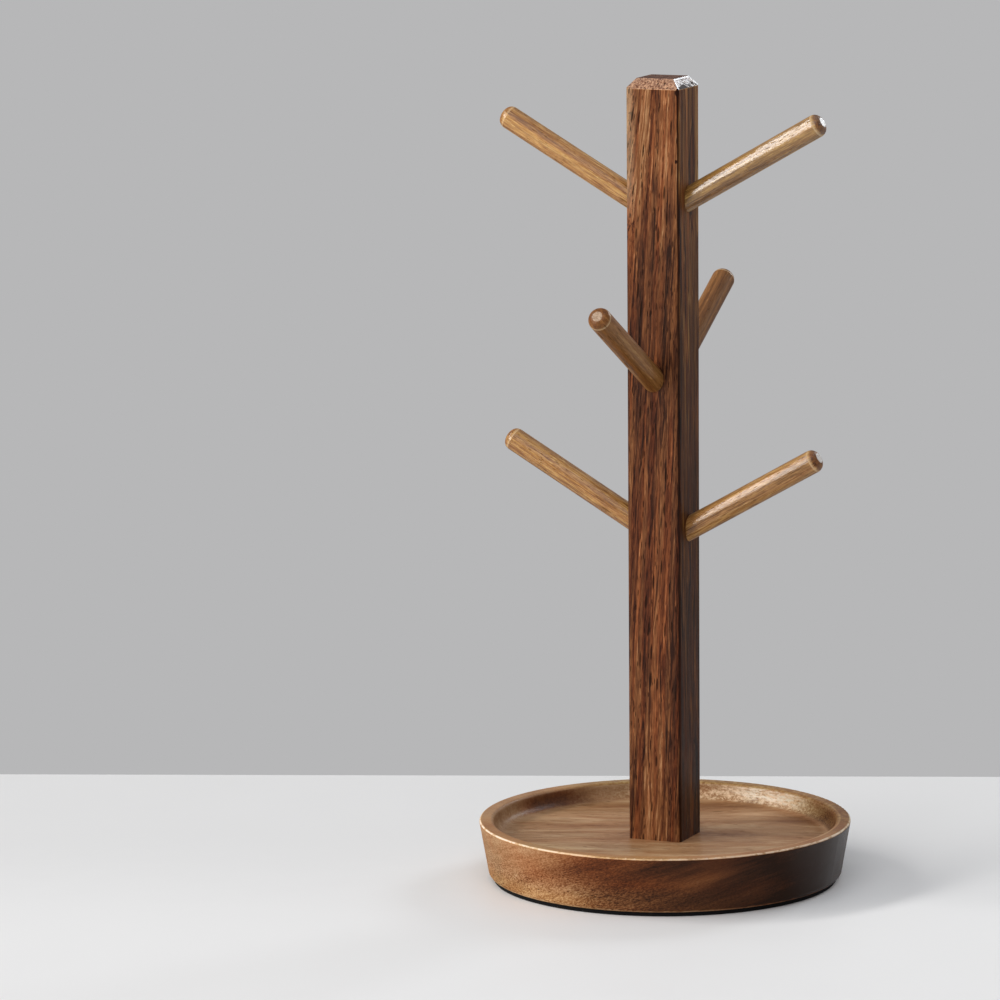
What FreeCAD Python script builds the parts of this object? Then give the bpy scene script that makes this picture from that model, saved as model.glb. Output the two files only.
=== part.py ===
import FreeCAD, Part
import os
import Sketcher
from FreeCAD import Vector

# Jewellery tree: a square post with six angled round pegs, standing in a round turned tray.
# Row frame: +Z up, origin on the surface it stands on, at the middle of the tray.
# The post's faces look along X and Y.  Millimetres and degrees.

SIZES = {
    # Tray, turned from solid wood; the wall leans outward by the same angle inside and out.
    "tray_diameter": 180.0,
    "tray_height": 27.3,
    "tray_floor_thickness": 18.7,
    "tray_wall_lean": 10.0,
    "rim_width": 7.0,
    "rim_outer_round": 1.0,
    "rim_inner_round": 2.0,
    "hollow_cove": 6.0,
    "foot_round": 2.6,
    # Non-slip pad glued under the tray, with a hole that leaves the bolt in reach.
    "pad_thickness": 2.0,
    "pad_hole_diameter": 26.0,
    # Post, measured from its foot on the tray's floor.
    "post_side": 27.0,
    "post_length": 368.0,
    "post_bevel_inset": 4.1,
    "post_bevel_height": 4.8,
    "post_corner_round": 2.0,
    "post_bevel_easing": 0.3,
    # Pegs; reach runs along the peg's axis from the post's face to the tip.
    "peg_diameter": 11.2,
    "peg_reach": 78.0,
    "top_left_peg_reach": 79.3,
    "lower_left_peg_reach": 77.7,
    "lower_right_peg_reach": 76.2,
    "peg_rise": 29.7,
    # The tip domes in from a crisp ring, over a rounded shoulder, to a small flat.
    "peg_tip_length": 3.6,
    "peg_tip_shoulder_inset": 0.6,
    "peg_tip_shoulder_drop": 1.1,
    "peg_tip_crown": 3.8,
    "peg_tip_flat_diameter": 4.7,
    "peg_tip_easing": 0.9,
    "peg_foot_chamfer": 0.8,
    "peg_bore_web": 1.6,
    "top_pegs_drop": 57.6,
    "top_left_peg_lag": 1.9,
    "middle_pegs_drop": 85.4,
    "lower_pegs_drop": 73.4,
    "lower_left_peg_lead": 1.4,
    # Bolt and washer, in a counterbore from below.
    "bolt_diameter": 6.0,
    "bolt_length": 30.0,
    "bolt_head_diameter": 10.0,
    "bolt_head_height": 6.0,
    "bolt_hex_flats": 5.0,
    "bolt_hex_depth": 3.0,
    "bolt_chamfer": 0.6,
    "bolt_head_recess": 1.4,
    "washer_diameter": 18.0,
    "washer_thickness": 1.6,
    # Threaded insert in the post's foot.
    "insert_diameter": 10.0,
    "insert_length": 15.0,
    "insert_recess": 0.5,
    "insert_chamfer": 0.8,
    "insert_hex_flats": 6.4,
    "insert_hex_depth": 4.0,
    # Two locating dowels on the post's diagonal.
    "dowel_diameter": 5.0,
    "dowel_post_depth": 13.0,
    "dowel_edge_wood": 3.5,
    "dowel_floor_wood": 2.6,
    "dowel_chamfer": 0.6,
    # Clearances.
    "glue_gap": 0.05,
    "thread_gap": 0.05,
    "bolt_gap": 0.3,
    "washer_gap": 0.2,
    "counterbore_gap": 1.0,
    "bore_end_gap": 0.5,
}

# Formulas in the sheet's aliases, shared by the pieces that meet there.
COUNTERBORE_DEPTH = "(Sizes.bolt_head_height + Sizes.washer_thickness + Sizes.bolt_head_recess)"
COUNTERBORE_RADIUS = "(Sizes.washer_diameter / 2 + Sizes.counterbore_gap)"
BOLT_WEB = f"(Sizes.tray_floor_thickness - {COUNTERBORE_DEPTH})"
BOLT_HOLE_RADIUS = "(Sizes.bolt_diameter / 2 + Sizes.bolt_gap)"
FOOT_RADIUS = "(Sizes.tray_diameter / 2 - Sizes.tray_height * tan(Sizes.tray_wall_lean))"
FOOT_FLAT_RADIUS = f"({FOOT_RADIUS} - Sizes.foot_round * tan(45 - Sizes.tray_wall_lean / 2))"
HOLLOW_DEPTH = "(Sizes.tray_height - Sizes.tray_floor_thickness)"
HOLLOW_MOUTH_RADIUS = "(Sizes.tray_diameter / 2 - Sizes.rim_width)"
HOLLOW_FLOOR_RADIUS = f"({HOLLOW_MOUTH_RADIUS} - {HOLLOW_DEPTH} * tan(Sizes.tray_wall_lean))"
POST_FOOT = "(Sizes.pad_thickness + Sizes.tray_floor_thickness)"
BEVEL_START = "(Sizes.post_length - Sizes.post_bevel_height)"
PEG_BORE_RADIUS = "(Sizes.peg_diameter / 2 + Sizes.glue_gap)"
PEG_SEAT = (
    "((Sizes.post_side - Sizes.peg_bore_web) / 2"
    f" - {PEG_BORE_RADIUS} * sin(Sizes.peg_rise)) / cos(Sizes.peg_rise)"
)
DOWEL_TRAY_DEPTH = f"({BOLT_WEB} - Sizes.dowel_floor_wood)"
DOWEL_OFFSET = "(Sizes.post_side / 2 - Sizes.dowel_edge_wood - Sizes.dowel_diameter / 2)"

# Tier heights on the post, each measured down from the one above it.
TOP_TIER = "(Sizes.post_length - Sizes.top_pegs_drop)"
MIDDLE_TIER = f"({TOP_TIER} - Sizes.middle_pegs_drop)"
LOWER_TIER = f"({MIDDLE_TIER} - Sizes.lower_pegs_drop)"

# Pegs: the face each leaves, as an angle about the post from +X, its height and its reach.
PEGS = {
    "peg_top_left": (180, f"({TOP_TIER} - Sizes.top_left_peg_lag)", "Sizes.top_left_peg_reach"),
    "peg_top_right": (0, TOP_TIER, "Sizes.peg_reach"),
    "peg_middle_front": (270, MIDDLE_TIER, "Sizes.peg_reach"),
    "peg_middle_back": (90, MIDDLE_TIER, "Sizes.peg_reach"),
    "peg_lower_left": (180, f"({LOWER_TIER} + Sizes.lower_left_peg_lead)", "Sizes.lower_left_peg_reach"),
    "peg_lower_right": (0, LOWER_TIER, "Sizes.lower_right_peg_reach"),
}

# Dowels: the corner of the post that each stands near, as signs along X and Y.
DOWELS = {"dowel_left": (-1, -1), "dowel_right": (1, 1)}


def make_sheet(doc):
    """Put every driving size in the sheet, one aliased cell a row."""
    sheet = doc.addObject("Spreadsheet::Sheet", "Sizes")
    for row, (alias, value) in enumerate(SIZES.items(), start=1):
        sheet.set(f"A{row}", alias)
        sheet.set(f"B{row}", str(value))
        sheet.setAlias(f"B{row}", alias)
    doc.recompute()
    return sheet


def make_body(doc, name, height=None):
    """An empty body, its own origin lifted to a height above the table if one is given."""
    body = doc.addObject("PartDesign::Body", name)
    body.Label = name
    if height:
        body.setExpression("Placement.Base.z", height)
    return body


def datum(body, role):
    """One of the body's own origin planes or axes."""
    return [item for item in body.Origin.OriginFeatures if item.Role == role][0]


def make_sketch(body, name, plane, height=None):
    """A sketch on one of the body's origin planes, lifted to a height if one is given."""
    sketch = body.newObject("Sketcher::SketchObject", name)
    sketch.AttachmentSupport = [(datum(body, plane), "")]
    sketch.MapMode = "FlatFace"
    if height:
        sketch.setExpression("AttachmentOffset.Base.z", height)
    return sketch


def constrain(sketch, formula, kind, *where):
    """Add one dimension to a sketch and bind it to a formula."""
    value = float(sketch.evalExpression(formula))
    index = sketch.addConstraint(Sketcher.Constraint(kind, *where, value))
    sketch.setExpression(f"Constraints[{index}]", formula)


def draw_outline(sketch, corners):
    """A closed outline through corners, each an (across, up) pair of formulas from the origin."""
    x_axis, y_axis, origin = -1, -2, (-1, 1)
    points = [Vector(*[float(sketch.evalExpression(item)) for item in corner]) for corner in corners]
    count = len(points)
    for side in range(count):
        sketch.addGeometry(Part.LineSegment(points[side], points[(side + 1) % count]))
    for side in range(count):
        sketch.addConstraint(Sketcher.Constraint("Coincident", side, 2, (side + 1) % count, 1))
    for side, (across, up) in enumerate(corners):
        if across == "0":
            sketch.addConstraint(Sketcher.Constraint("PointOnObject", side, 1, y_axis))
        else:
            constrain(sketch, across, "DistanceX", *origin, side, 1)
        if up == "0":
            sketch.addConstraint(Sketcher.Constraint("PointOnObject", side, 1, x_axis))
        else:
            constrain(sketch, up, "DistanceY", *origin, side, 1)


def draw_square(sketch, side_length):
    """A square centred on the sketch's origin."""
    half = float(sketch.evalExpression(side_length)) / 2
    corners = [Vector(x, y) for x, y in ((-half, -half), (half, -half), (half, half), (-half, half))]
    for side in range(4):
        sketch.addGeometry(Part.LineSegment(corners[side], corners[(side + 1) % 4]))
    for side in range(4):
        sketch.addConstraint(Sketcher.Constraint("Coincident", side, 2, (side + 1) % 4, 1))
        direction = "Vertical" if side % 2 else "Horizontal"
        sketch.addConstraint(Sketcher.Constraint(direction, side))
    sketch.addConstraint(Sketcher.Constraint("Symmetric", 0, 1, 2, 1, -1, 1))
    constrain(sketch, side_length, "DistanceX", 0, 1, 0, 2)
    constrain(sketch, side_length, "DistanceY", 1, 1, 1, 2)


def draw_circle(sketch, radius):
    """A circle centred on the sketch's origin."""
    circle = Part.Circle(Vector(), Vector(0, 0, 1), float(sketch.evalExpression(radius)))
    index = sketch.addGeometry(circle)
    sketch.addConstraint(Sketcher.Constraint("Coincident", index, 3, -1, 1))
    constrain(sketch, radius, "Radius", index)


def draw_diagonal_circles(sketch, offset, radius):
    """Two like circles, as far along X as along Y from the origin, on opposite sides of it."""
    distance = float(sketch.evalExpression(offset))
    size = float(sketch.evalExpression(radius))
    for sign in (1, -1):
        sketch.addGeometry(Part.Circle(Vector(sign * distance, sign * distance), Vector(0, 0, 1), size))
    constrain(sketch, offset, "DistanceX", -1, 1, 0, 3)
    constrain(sketch, offset, "DistanceY", -1, 1, 0, 3)
    sketch.addConstraint(Sketcher.Constraint("Symmetric", 0, 3, 1, 3, -1, 1))
    sketch.addConstraint(Sketcher.Constraint("Equal", 0, 1))
    constrain(sketch, radius, "Radius", 0)


def draw_hexagon(sketch, flats):
    """A hexagon centred on the origin, its corners on a construction circle."""
    corner_radius = f"{flats} / 2 / cos(30)"
    radius = float(sketch.evalExpression(corner_radius))
    turns = [FreeCAD.Rotation(Vector(0, 0, 1), 60 * turn) for turn in range(6)]
    corners = [turn.multVec(Vector(radius, 0)) for turn in turns]
    for side in range(6):
        sketch.addGeometry(Part.LineSegment(corners[side], corners[(side + 1) % 6]))
    circle = sketch.addGeometry(Part.Circle(Vector(), Vector(0, 0, 1), radius), True)
    sketch.addConstraint(Sketcher.Constraint("Coincident", circle, 3, -1, 1))
    constrain(sketch, corner_radius, "Radius", circle)
    for side in range(6):
        sketch.addConstraint(Sketcher.Constraint("Coincident", side, 2, (side + 1) % 6, 1))
        sketch.addConstraint(Sketcher.Constraint("PointOnObject", side, 1, circle))
    for side in range(5):
        sketch.addConstraint(Sketcher.Constraint("Equal", side, side + 1))
    sketch.addConstraint(Sketcher.Constraint("PointOnObject", 0, 1, -1))


def revolve(body, name, corners):
    """Turn an outline in the body's XZ plane once about its Z axis."""
    sketch = make_sketch(body, f"{name}_outline", "XZ_Plane")
    draw_outline(sketch, corners)
    turned = body.newObject("PartDesign::Revolution", name)
    turned.Profile = sketch
    turned.ReferenceAxis = (sketch, ["V_Axis"])
    turned.Angle = 360
    return turned


def pad(body, name, sketch, length):
    """Extrude a sketch upward."""
    feature = body.newObject("PartDesign::Pad", name)
    feature.Profile = sketch
    feature.setExpression("Length", length)
    return feature


def pocket(body, name, sketch, depth, upward=True):
    """Cut a sketch into the body, upward or downward from the sketch."""
    feature = body.newObject("PartDesign::Pocket", name)
    feature.Profile = sketch
    feature.Reversed = upward
    feature.setExpression("Length", depth)
    return feature


def edges_where(shape, wanted):
    """The names of a shape's edges that a test accepts."""
    return [f"Edge{number}" for number, edge in enumerate(shape.Edges, start=1) if wanted(edge)]


def round_edges(body, name, base, edges, radius):
    """Fillet some edges of the last feature, with a radius from the sheet."""
    feature = body.newObject("PartDesign::Fillet", name)
    feature.Base = (base, edges)
    feature.setExpression("Radius", radius)
    body.Document.recompute()
    return feature


def ring_edges(body, base, radius, height):
    """The turned edge of a given radius at a given height, both as formulas."""
    wanted_radius = float(body.evalExpression(radius))
    wanted_height = float(body.evalExpression(height))

    def is_ring(edge):
        curve = edge.Curve
        if not isinstance(curve, Part.Circle):
            return False
        same_radius = abs(curve.Radius - wanted_radius) < 1e-4
        return same_radius and abs(curve.Center.z - wanted_height) < 1e-4

    return edges_where(base.Shape, is_ring)


def build_tray(doc):
    """Turned tray: one revolved section with its bolt hole, then rounded edges and two dowel holes."""
    body = make_body(doc, "tray", "Sizes.pad_thickness")
    rim = "Sizes.tray_diameter / 2"
    turned = revolve(body, "turned_section", [
        (BOLT_HOLE_RADIUS, "Sizes.tray_floor_thickness"),
        (BOLT_HOLE_RADIUS, COUNTERBORE_DEPTH),
        (COUNTERBORE_RADIUS, COUNTERBORE_DEPTH),
        (COUNTERBORE_RADIUS, "0"),
        (FOOT_RADIUS, "0"),
        (rim, "Sizes.tray_height"),
        (HOLLOW_MOUTH_RADIUS, "Sizes.tray_height"),
        (HOLLOW_FLOOR_RADIUS, "Sizes.tray_floor_thickness"),
    ])
    doc.recompute()
    last = turned
    for name, radius, height, rounding in (
        ("foot_rounding", FOOT_RADIUS, "0", "Sizes.foot_round"),
        ("rim_outer_rounding", rim, "Sizes.tray_height", "Sizes.rim_outer_round"),
        ("rim_inner_rounding", HOLLOW_MOUTH_RADIUS, "Sizes.tray_height", "Sizes.rim_inner_round"),
        ("hollow_coving", HOLLOW_FLOOR_RADIUS, "Sizes.tray_floor_thickness", "Sizes.hollow_cove"),
    ):
        last = round_edges(body, name, last, ring_edges(body, last, radius, height), rounding)
    circles = make_sketch(body, "dowel_circles", "XY_Plane", "Sizes.tray_floor_thickness")
    draw_diagonal_circles(circles, DOWEL_OFFSET, "Sizes.dowel_diameter / 2 + Sizes.glue_gap")
    pocket(body, "dowel_holes", circles, DOWEL_TRAY_DEPTH, upward=False)


def build_base_pad(doc):
    """Non-slip disc that covers the flat of the tray's foot."""
    body = make_body(doc, "base_pad")
    disc = make_sketch(body, "disc_outline", "XY_Plane")
    draw_circle(disc, FOOT_FLAT_RADIUS)
    draw_circle(disc, "Sizes.pad_hole_diameter / 2")
    pad(body, "disc", disc, "Sizes.pad_thickness")


def build_post(doc):
    """Square post: rounded corners, four flat bevels at the top, six peg bores, bores in its foot."""
    body = make_body(doc, "post", POST_FOOT)
    square = make_sketch(body, "post_square", "XY_Plane")
    draw_square(square, "Sizes.post_side")
    shaft = pad(body, "shaft", square, "Sizes.post_length")
    doc.recompute()
    corners = edges_where(shaft.Shape, lambda edge: edge.BoundBox.ZLength > 1)
    round_edges(body, "corner_rounding", shaft, corners, "Sizes.post_corner_round")
    cut_top_bevels(body)
    for name, (face, height, _) in PEGS.items():
        drill_peg_bore(body, name.replace("peg", "bore", 1), face, height)
    insert_bore = make_sketch(body, "insert_circle", "XY_Plane")
    draw_circle(insert_bore, "Sizes.insert_diameter / 2 + Sizes.glue_gap")
    insert_depth = "Sizes.insert_recess + Sizes.insert_length + Sizes.bore_end_gap"
    pocket(body, "insert_bore", insert_bore, insert_depth)
    bolt_bore = make_sketch(body, "bolt_circle", "XY_Plane")
    draw_circle(bolt_bore, BOLT_HOLE_RADIUS)
    bolt_depth = f"Sizes.bolt_length - Sizes.washer_thickness - {BOLT_WEB} + Sizes.bore_end_gap"
    pocket(body, "bolt_bore", bolt_bore, f"max({bolt_depth}; {insert_depth})")
    circles = make_sketch(body, "dowel_circles", "XY_Plane")
    draw_diagonal_circles(circles, DOWEL_OFFSET, "Sizes.dowel_diameter / 2 + Sizes.glue_gap")
    pocket(body, "dowel_holes", circles, "Sizes.dowel_post_depth")


def cut_top_bevels(body):
    """Saw one flat bevel off the post's top edge, then repeat it on the other three sides."""
    half = "Sizes.post_side / 2"
    wedge = make_sketch(body, "bevel_wedge", "XZ_Plane")
    draw_outline(wedge, [
        (f"{half} - Sizes.post_bevel_inset", "Sizes.post_length"),
        (half, BEVEL_START),
        (half, "Sizes.post_length"),
    ])
    bevel = pocket(body, "top_bevel", wedge, "Sizes.post_side")
    bevel.Midplane = True
    bevels = body.newObject("PartDesign::PolarPattern", "top_bevels")
    bevels.Originals = [bevel]
    bevels.Axis = (datum(body, "Z_Axis"), [""])
    bevels.Angle = 360
    bevels.Occurrences = 4
    body.Tip = bevels
    body.Document.recompute()
    bevel_foot = float(body.evalExpression(BEVEL_START)) - 0.1
    eased = edges_where(bevels.Shape, lambda edge: edge.BoundBox.ZMin > bevel_foot)
    round_edges(body, "bevel_easing", bevels, eased, "Sizes.post_bevel_easing")


def peg_place(face, foot_height):
    """A peg's placement: its foot on the bore's floor, its axis rising out through the post's face."""
    inward = f"(Sizes.post_side / 2 - {PEG_SEAT} * cos(Sizes.peg_rise))"
    across = f"({inward} * cos({face}))"
    along = f"({inward} * sin({face}))"
    turn = f"rotation(vector(0; 0; 1); {face}) * rotation(vector(0; 1; 0); 90 - Sizes.peg_rise)"
    return f"placement(vector({across}; {along}; {foot_height}); {turn})"


def drill_peg_bore(body, name, face, height):
    """One flat-bottomed blind bore, cut with a drill that stands clear of the post's face."""
    drill = body.newObject("PartDesign::SubtractiveCylinder", name)
    drill.setExpression("Radius", PEG_BORE_RADIUS)
    drill.setExpression("Height", f"{PEG_SEAT} + Sizes.peg_diameter")
    drill.setExpression("Placement", peg_place(face, f"{height} - {PEG_SEAT} * sin(Sizes.peg_rise)"))


def build_peg(doc, name, face, height, reach):
    """Turned peg with a chamfered foot and a domed, flat-ended tip, seated on its bore's floor."""
    body = make_body(doc, name)
    radius = "Sizes.peg_diameter / 2"
    length = f"({PEG_SEAT} + {reach})"
    dome_start = (radius, f"{length} - Sizes.peg_tip_length")
    shoulder = (f"{radius} - Sizes.peg_tip_shoulder_inset", f"{length} - Sizes.peg_tip_shoulder_drop")
    flat_rim = ("Sizes.peg_tip_flat_diameter / 2", length)
    turned = revolve(body, "turned_peg", [
        ("0", "0"),
        (f"{radius} - Sizes.peg_foot_chamfer", "0"),
        (radius, "Sizes.peg_foot_chamfer"),
        dome_start,
        shoulder,
        flat_rim,
        ("0", length),
    ])
    doc.recompute()
    shoulder_ring = ring_edges(body, turned, *shoulder)
    domed = round_edges(body, "tip_doming", turned, shoulder_ring, "Sizes.peg_tip_crown")
    rings = ring_edges(body, domed, *dome_start) + ring_edges(body, domed, *flat_rim)
    round_edges(body, "tip_easing", domed, rings, "Sizes.peg_tip_easing")
    foot_height = f"({POST_FOOT} + {height} - {PEG_SEAT} * sin(Sizes.peg_rise))"
    body.setExpression("Placement", peg_place(face, foot_height))


def build_bolt(doc):
    """Socket cap screw, head down, its threads drawn plain at their crests."""
    washer_face = f"Sizes.pad_thickness + {COUNTERBORE_DEPTH} - Sizes.washer_thickness"
    body = make_body(doc, "bolt", f"{washer_face} - Sizes.bolt_head_height")
    head = "Sizes.bolt_head_diameter / 2"
    shank = "Sizes.bolt_diameter / 2"
    end = "(Sizes.bolt_head_height + Sizes.bolt_length)"
    revolve(body, "turned_bolt", [
        ("0", "0"),
        (f"{head} - Sizes.bolt_chamfer", "0"),
        (head, "Sizes.bolt_chamfer"),
        (head, "Sizes.bolt_head_height"),
        (shank, "Sizes.bolt_head_height"),
        (shank, f"{end} - Sizes.bolt_chamfer"),
        (f"{shank} - Sizes.bolt_chamfer", end),
        ("0", end),
    ])
    socket = make_sketch(body, "socket_hexagon", "XY_Plane")
    draw_hexagon(socket, "Sizes.bolt_hex_flats")
    pocket(body, "hex_socket", socket, "Sizes.bolt_hex_depth")


def build_washer(doc):
    """Wide flat washer between the bolt's head and the tray."""
    body = make_body(doc, "washer", f"Sizes.pad_thickness + {COUNTERBORE_DEPTH} - Sizes.washer_thickness")
    ring = make_sketch(body, "washer_outline", "XY_Plane")
    draw_circle(ring, "Sizes.washer_diameter / 2")
    draw_circle(ring, "Sizes.bolt_diameter / 2 + Sizes.washer_gap")
    pad(body, "washer_plate", ring, "Sizes.washer_thickness")


def build_threaded_insert(doc):
    """Brass insert with a hexagon drive at its mouth, its threads drawn plain at their crests."""
    body = make_body(doc, "threaded_insert", f"{POST_FOOT} + Sizes.insert_recess")
    bore = "Sizes.bolt_diameter / 2 + Sizes.thread_gap"
    outside = "Sizes.insert_diameter / 2"
    revolve(body, "turned_insert", [
        (bore, "0"),
        (f"{outside} - Sizes.insert_chamfer", "0"),
        (outside, "Sizes.insert_chamfer"),
        (outside, "Sizes.insert_length - Sizes.insert_chamfer"),
        (f"{outside} - Sizes.insert_chamfer", "Sizes.insert_length"),
        (bore, "Sizes.insert_length"),
    ])
    drive = make_sketch(body, "drive_hexagon", "XY_Plane")
    draw_hexagon(drive, "Sizes.insert_hex_flats")
    pocket(body, "hex_drive", drive, "Sizes.insert_hex_depth")


def build_dowel(doc, name, side_x, side_y):
    """Chamfered dowel that stands on the floor of its hole in the tray."""
    body = make_body(doc, name, f"{POST_FOOT} - {DOWEL_TRAY_DEPTH}")
    body.setExpression("Placement.Base.x", f"{side_x} * {DOWEL_OFFSET}")
    body.setExpression("Placement.Base.y", f"{side_y} * {DOWEL_OFFSET}")
    radius = "Sizes.dowel_diameter / 2"
    length = f"({DOWEL_TRAY_DEPTH} + Sizes.dowel_post_depth - Sizes.bore_end_gap)"
    revolve(body, "turned_dowel", [
        ("0", "0"),
        (f"{radius} - Sizes.dowel_chamfer", "0"),
        (radius, "Sizes.dowel_chamfer"),
        (radius, f"{length} - Sizes.dowel_chamfer"),
        (f"{radius} - Sizes.dowel_chamfer", length),
        ("0", length),
    ])


def build_all(doc):
    """Every piece, each in a body of its own."""
    build_base_pad(doc)
    build_tray(doc)
    build_post(doc)
    for name, (face, height, reach) in PEGS.items():
        build_peg(doc, name, face, height, reach)
    build_bolt(doc)
    build_washer(doc)
    build_threaded_insert(doc)
    for name, (side_x, side_y) in DOWELS.items():
        build_dowel(doc, name, side_x, side_y)


def check_all(doc):
    """Stop if any object failed, if a piece is not one sound solid, or if a cut removed nothing."""
    for item in doc.Objects:
        if {"Invalid", "Error"} & set(item.State):
            raise RuntimeError(f"{item.Label} failed: {item.State}")
    for body in doc.findObjects("PartDesign::Body"):
        shape = body.Shape
        if shape.isNull() or not shape.isValid() or len(shape.Solids) != 1:
            raise RuntimeError(f"{body.Label} is not one sound solid")
    for kind in ("PartDesign::Pocket", "PartDesign::SubtractiveCylinder"):
        for cut in doc.findObjects(kind):
            if cut.Shape.Volume > cut.BaseFeature.Shape.Volume - 1:
                raise RuntimeError(f"{cut.Label} cuts nothing")


def export_all(doc):
    """Write each body to a STEP file named after it."""
    os.makedirs("parts", exist_ok=True)
    for body in doc.findObjects("PartDesign::Body"):
        body.Shape.exportStep(f"parts/{body.Label}.step")
        print(f"{body.Label}: {body.Shape.Volume:.1f} mm3")


document = FreeCAD.newDocument("JewelleryTree")
make_sheet(document)
build_all(document)
document.recompute()
check_all(document)
export_all(document)
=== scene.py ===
"""Looks of the jewellery tree: oiled open-pored hardwood, a pale table and soft studio light."""
from math import cos, radians, sin

import bpy
from mathutils import Matrix, Quaternion, Vector

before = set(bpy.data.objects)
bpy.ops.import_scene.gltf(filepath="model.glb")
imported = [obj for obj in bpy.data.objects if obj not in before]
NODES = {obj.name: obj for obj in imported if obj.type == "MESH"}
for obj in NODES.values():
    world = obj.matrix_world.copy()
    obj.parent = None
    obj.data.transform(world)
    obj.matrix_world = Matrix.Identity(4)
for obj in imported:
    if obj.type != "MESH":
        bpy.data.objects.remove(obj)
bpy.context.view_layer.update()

MM = 0.001
PIXELS = 1000          # the picture is this wide and high
SENSOR = 36.0          # mm
FAR_CLIP = 50.0        # m
AIM_HEIGHT = 190       # mm above the table: the point that the camera was fitted round
LAMP_TARGET = 0.2      # m above the table

# Where the stand's pieces are, in mm, as the CAD has them. A reach is a distance from the post's axis.
POST_HALF = 13.5
POST_TOP = 388.7
BEVEL_START = 383.9
PEG_RISE = 29.7        # degrees
TRAY_TOP = 29.3
TRAY_FLOOR = 20.7
TRAY_REACH = 90.0      # of the rim's outer edge
MOUTH_REACH = 83.0     # of the hollow's mouth, where the rim rounds down into it
# RIM_LINE's light line is a painted highlight.
RIM_LINE = 84.6        # of a light line on the rim

# Directions, level but for the second.
BEHIND = (0.26, 0.966, 0.0)
RIGHT = (0.926, 0.377, 0.5)            # the camera's right, and half as much up
AWAY = (-0.377, 0.926, 0.0)            # straight away from the camera


# ---------------------------------------------------------------- colours

def linear(value):
    """One sRGB byte as a linear number."""
    part = value / 255
    return part / 12.92 if part <= 0.04045 else ((part + 0.055) / 1.055) ** 2.4


def colour(red, green, blue):
    """An sRGB colour as Blender's linear one."""
    return (linear(red), linear(green), linear(blue), 1.0)


# ---------------------------------------------------------------- node graphs

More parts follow.
